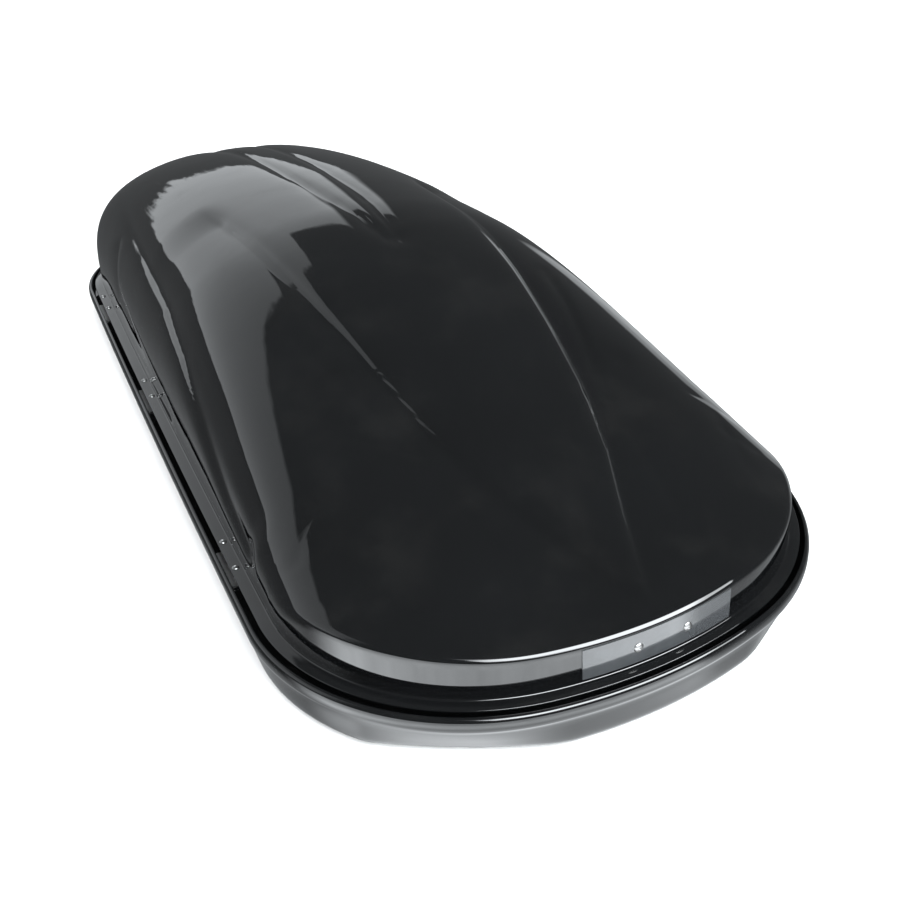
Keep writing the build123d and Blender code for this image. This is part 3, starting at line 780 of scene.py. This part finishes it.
def make_floor():
    mesh = bpy.data.meshes.new("floor")
    reach = 40.0
    corners = [(-reach, -reach, 0), (reach, -reach, 0), (reach, reach, 0), (-reach, reach, 0)]
    mesh.from_pydata(corners, [], [(0, 1, 2, 3)])
    floor = bpy.data.objects.new("floor", mesh)
    bpy.context.scene.collection.objects.link(floor)
    f = Finish("pale_floor")
    cloud = f.noise(0.8, 3.0)
    base = f.mix(cloud, (0.80, 0.80, 0.80, 1), (0.83, 0.83, 0.83, 1))
    mesh.materials.append(f.set(Base_Color=base, Roughness=0.8 + cloud * 0.05))
    floor.visible_glossy = False


def make_backdrop():
    """Plain pale drum far round the box; only seen directly, so it neither lights nor shades anything."""
    reach, height, sides = 38.0, 60.0, 96
    turn = [2 * math.pi * k / sides for k in range(sides)]
    points = [(reach * math.cos(a), reach * math.sin(a), z) for z in (-1.0, height) for a in turn]
    walls = [((k + 1) % sides, k, k + sides, (k + 1) % sides + sides) for k in range(sides)]
    mesh = bpy.data.meshes.new("backdrop")
    mesh.from_pydata(points, [], walls)
    mesh.shade_smooth()
    drum = bpy.data.objects.new("backdrop", mesh)
    bpy.context.scene.collection.objects.link(drum)
    f = Finish("pale_backdrop", Emission_Strength=0.8)
    cloud = f.noise(0.1, 2.0)
    glow = f.mix(cloud, (0.95, 0.95, 0.95, 1), (1.0, 1.0, 1.0, 1))
    mesh.materials.append(f.set(Base_Color=glow, Emission_Color=glow, Roughness=0.8 + cloud * 0.05))
    drum.visible_glossy = False
    drum.visible_diffuse = False
    drum.visible_transmission = False
    drum.visible_shadow = False


def make_sky():
    """Dim surroundings for the gloss: open sky over a hedge at the tail's left, a low gap to the right,
    pale paving in front and below, and a bright bay high in front of the nose."""
    world = bpy.data.worlds.new("surroundings")
    bpy.context.scene.world = world
    world.use_nodes = True
    tree = world.node_tree
    tree.nodes.clear()
    around = add_node(tree, "ShaderNodeTexCoord").outputs["Generated"]
    split = add_node(tree, "ShaderNodeSeparateXYZ", Vector=around)
    x, y, up = (Value(tree, split.outputs[k]) for k in range(3))
    leaves = add_node(tree, "ShaderNodeTexNoise", Vector=around, Scale=5.0, Detail=9.0, Roughness=0.72)
    ragged = Value(tree, leaves.outputs[0])
    behind = y.step(0.1, 0.5)
    ground = (1.0 - up.step(-0.95, -0.25)) * (1.0 - behind * 0.75) * (1.0 - x.step(0.45, 0.75) * 0.7)
    hedge_top = 0.22 * ragged
    open_side = (1.0 - (x - y * 0.37).step(-0.02, 0.03)) * y.step(-0.1, 0.25)
    eaves = 0.56 + 0.20 * (1.0 - x.step(0.02, 0.08))
    sky = (up - hedge_top).step(0.0, 0.015) * (1.0 - (up + 0.10 * ragged - eaves).step(0.0, 0.03)) * open_side
    gap_right = x.step(0.62, 0.66) * up.step(-0.40, -0.30) * (1.0 - up.step(0.10, 0.16)) * behind
    paving = (1.0 - up.step(-0.16, -0.10)) * (1.0 - behind)
    near_paving = paving * (1.0 - x.step(0.50, 0.62)) * up.step(-0.80, -0.62)
    front = (1.0 - y.step(-0.55, -0.35)) * x.step(-0.5, -0.2) * (1.0 - x.step(0.56, 0.64))
    front = front * up.step(0.34, 0.42) * (1.0 - up.step(0.74, 0.84))
    strength = (0.10 + paving * 0.16 + near_paving * 2.6 * (0.35 + ragged) + ground * 1.7
                + sky * (0.8 - up * 0.5) + gap_right * (0.1 + ragged) + front * 8.0)
    cool = add_node(tree, "ShaderNodeVectorMath", {"operation": "SCALE"}, {0: (0.93, 0.97, 1.0)},
                    Scale=strength)
    back = add_node(tree, "ShaderNodeBackground", Color=cool.outputs[0])
    add_node(tree, "ShaderNodeOutputWorld", Surface=back.outputs[0])


def make_fill():
    """Broad overhead light for the floor; kept out of the gloss so the lid's top stays dark."""
    light = bpy.data.lights.new("fill", "SUN")
    light.energy = 3.5
    light.angle = math.radians(70)
    lamp = bpy.data.objects.new("fill", light)
    lamp.rotation_euler = (math.radians(18), math.radians(-14), 0)
    lamp.visible_glossy = False
    bpy.context.scene.collection.objects.link(lamp)


def make_window(name, place, aim, size, power, colour):
    """A long soft light that draws the bright lines along the nose band and the tray's bead."""
    light = bpy.data.lights.new(name, "AREA")
    light.shape = "RECTANGLE"
    light.size, light.size_y = size
    light.energy = power
    light.color = colour
    lamp = bpy.data.objects.new(name, light)
    lamp.location = place
    lamp.rotation_mode = "QUATERNION"
    lamp.rotation_quaternion = (Vector(aim) - Vector(place)).to_track_quat("-Z", "Y")
    bpy.context.scene.collection.objects.link(lamp)


CAMERA_PLACE = (-0.618, -1.753, 0.956)
YAW, PITCH, ROLL = -34.63, 29.74, 1.24   # degrees
LENS = 43.07                             # millimetres, on a 36 mm sensor
SHIFT = (-0.197, -0.007)


def make_camera():
    data = bpy.data.cameras.new("view")
    data.sensor_width = 36.0
    data.lens = LENS
    data.shift_x, data.shift_y = SHIFT
    data.clip_start = 0.05
    data.clip_end = 200.0
    a, e, roll = map(math.radians, (YAW, PITCH, ROLL))
    back = Vector((math.sin(a) * math.cos(e), -math.cos(a) * math.cos(e), math.sin(e)))
    right = Vector((0, 0, 1)).cross(back).normalized()
    up = back.cross(right)
    right, up = (math.cos(roll) * right + math.sin(roll) * up, math.cos(roll) * up - math.sin(roll) * right)
    camera = bpy.data.objects.new("view", data)
    camera.matrix_world = Matrix((
        (right.x, up.x, back.x, CAMERA_PLACE[0]),
        (right.y, up.y, back.y, CAMERA_PLACE[1]),
        (right.z, up.z, back.z, CAMERA_PLACE[2]),
        (0, 0, 0, 1)))
    bpy.context.scene.collection.objects.link(camera)
    bpy.context.scene.camera = camera


make_floor()
make_backdrop()
make_sky()
make_fill()
make_window("front_window", (0.9, -5.0, 3.7), (0, -0.6, 0.1), (8.5, 2.2), 420, (0.94, 0.98, 1.0))
make_camera()
bpy.context.scene.view_settings.view_transform = "Standard"
